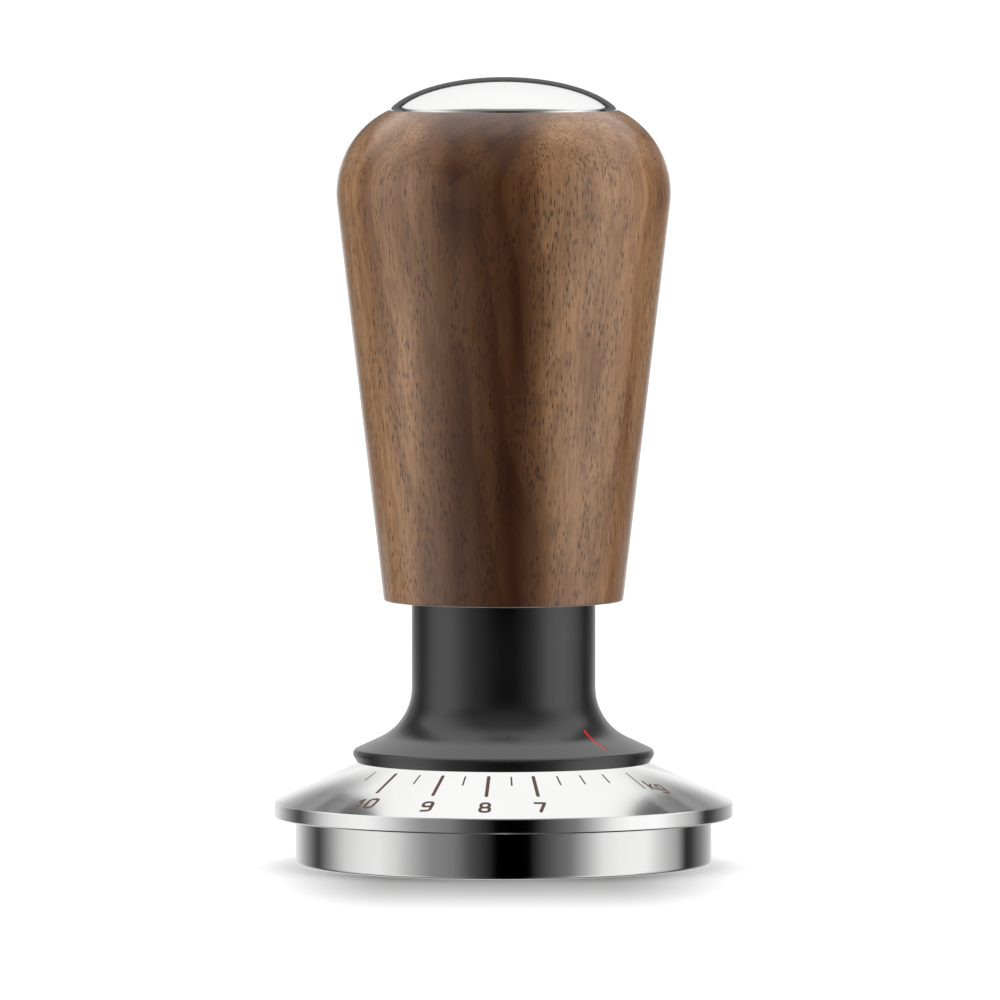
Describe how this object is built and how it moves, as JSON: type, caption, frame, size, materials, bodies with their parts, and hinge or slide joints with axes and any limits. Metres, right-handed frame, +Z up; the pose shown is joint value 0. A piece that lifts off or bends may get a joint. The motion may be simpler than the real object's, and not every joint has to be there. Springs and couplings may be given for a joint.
{
  "type": "espresso tamper",
  "caption": "Espresso tamper with a walnut handle sprung on a black turning collar that sets the tamping force against a scale on a stainless flange.",
  "frame": {"origin": "centre of the tamping face, on the surface it stands on", "axes": "+Z up along the handle; -Y is the front, where the middle of the force scale is read"},
  "size_m": [0.064, 0.064, 0.1096],
  "materials": {
    "base_steel": "polished stainless steel",
    "flange_steel": "polished stainless steel with a printed scale",
    "cap_steel": "mirror polished stainless steel",
    "collar_black": "satin black anodised",
    "pointer_red": "red enamel filled flush in the groove",
    "walnut": "oiled walnut, satin",
    "machined_steel": "turned",
    "spring_steel": "drawn wire",
    "bronze": "turned bearing bronze",
    "bearing_polymer": "natural acetal",
    "rubber_black": "moulded"
  },
  "bodies": {
    "base": {"tamping_base": "base_steel", "scale_flange": "flange_steel", "flange_screws": "machined_steel", "centre_post": "machined_steel", "collar_seal": "rubber_black", "retaining_washer": "bronze", "retaining_ring": "spring_steel"},
    "collar": {"force_collar": "collar_black", "pointer_mark": "pointer_red", "collar_bush": "bearing_polymer", "cam_ring": "bronze", "guide_pins": "machined_steel"},
    "follower": {"cam_follower": "bearing_polymer", "main_spring": "spring_steel"},
    "handle": {"handle_sleeve": "machined_steel", "dust_wiper": "rubber_black", "stop_bumper": "rubber_black", "spring_plug": "machined_steel", "clamp_washer": "machined_steel", "clamp_nut": "machined_steel", "wood_handle": "walnut", "top_cap": "cap_steel", "cap_o_ring": "rubber_black"}
  },
  "joints": [
    {"name": "collar_turn", "type": "hinge", "parent": "base", "child": "collar", "pos_m": [0, 0, 0.0145], "axis": [0, 0, -1], "range_deg": [-2, 104]},
    {"name": "follower_lift", "type": "slide", "parent": "base", "child": "follower", "axis": [0, 0, 1], "range_m": [-0.00011, 0.00595], "deforming": ["main_spring"]},
    {"name": "handle_press", "type": "slide", "parent": "collar", "child": "handle", "axis": [0, 0, -1], "range_m": [0, 0.0045], "stiffness_N_per_m": 9100, "springref_m": -0.001, "deforming": ["main_spring"]}
  ],
  "couplings": [
    {"joint": "collar_turn", "follows": "follower_lift", "rad_per_m": 305.01}
  ]
}
